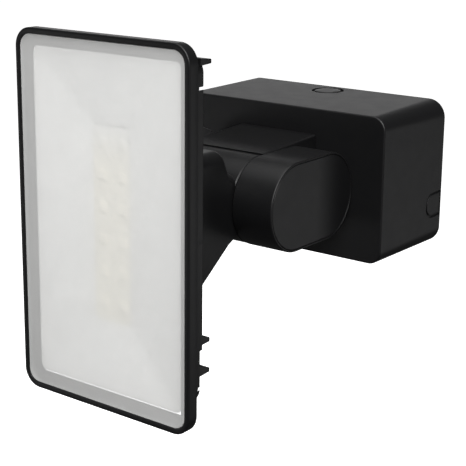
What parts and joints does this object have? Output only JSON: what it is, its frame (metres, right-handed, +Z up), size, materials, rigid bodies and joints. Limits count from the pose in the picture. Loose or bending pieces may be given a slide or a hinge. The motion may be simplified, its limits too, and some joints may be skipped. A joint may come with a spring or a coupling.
{
  "type": "floodlight",
  "caption": "Wall-mounted LED floodlight: upright frosted lamp head that tilts on a swivelling arm with round ends, fixed to a drafted wiring box.",
  "frame": {"origin": "centre of the wall plate's back face, in the wall plane", "axes": "+Z up, -Y out of the wall towards the lamp's front, +X to the right seen from the front"},
  "size_m": [0.1562, 0.2376, 0.2068],
  "materials": {
    "black_casting": "satin black powder coat on cast aluminium",
    "black_frame": "satin black powder coat",
    "box_plastic": "fine textured black plastic",
    "black_plastic": "satin black plastic",
    "frosted_cover": "frosted white, light diffusing",
    "white_reflector": "glossy white",
    "white_board": "white solder mask",
    "thermal_pad": "soft grey pad",
    "rubber": "matt black rubber",
    "steel": "stainless steel",
    "black_screw": "blackened stainless steel",
    "zinc_plate": "zinc-plated sheet steel",
    "grey_plastic": "light grey moulded plastic",
    "nylon": "natural nylon"
  },
  "bodies": {
    "wall_box": {"wall_box_cover": "box_plastic", "wall_plate": "zinc_plate", "box_seal": "rubber", "top_cable_knockout": "box_plastic", "side_cable_knockout": "box_plastic", "rear_cable_grommet": "rubber", "led_driver": "grey_plastic", "terminal_block": "nylon", "cover_screw_left": "black_screw", "cover_screw_right": "black_screw", "driver_screw_left": "steel", "driver_screw_right": "steel", "earth_screw": "steel", "terminal_screw_1": "steel", "terminal_screw_2": "steel", "terminal_screw_3": "steel", "swivel_stop_pin": "steel"},
    "arm": {"arm_casting": "black_casting", "arm_end_cap_left": "black_plastic", "arm_end_cap_right": "black_plastic", "friction_washer_left": "nylon", "friction_washer_right": "nylon", "spring_washer_left": "steel", "spring_washer_right": "steel", "pivot_bolt_left": "steel", "pivot_bolt_right": "steel", "swivel_o_ring": "rubber", "swivel_slip_washer": "nylon", "swivel_nut": "zinc_plate"},
    "head": {"head_housing": "black_casting", "front_frame": "black_frame", "diffuser": "frosted_cover", "diffuser_seal": "rubber", "reflector_tray": "white_reflector", "led_board": "white_board", "thermal_pad": "thermal_pad", "lead_grommet": "rubber", "frame_screw_1": "black_screw", "frame_screw_2": "black_screw", "frame_screw_3": "black_screw", "frame_screw_4": "black_screw", "frame_screw_5": "black_screw", "frame_screw_6": "black_screw"}
  },
  "joints": [
    {"name": "arm_swivel", "type": "hinge", "parent": "wall_box", "child": "arm", "pos_m": [0, -0.0738, 0], "axis": [0, 1, 0], "range_deg": [-90, 90]},
    {"name": "head_tilt", "type": "hinge", "parent": "arm", "child": "head", "pos_m": [0, -0.1324, 0], "axis": [1, 0, 0], "range_deg": [-50, 75]}
  ]
}
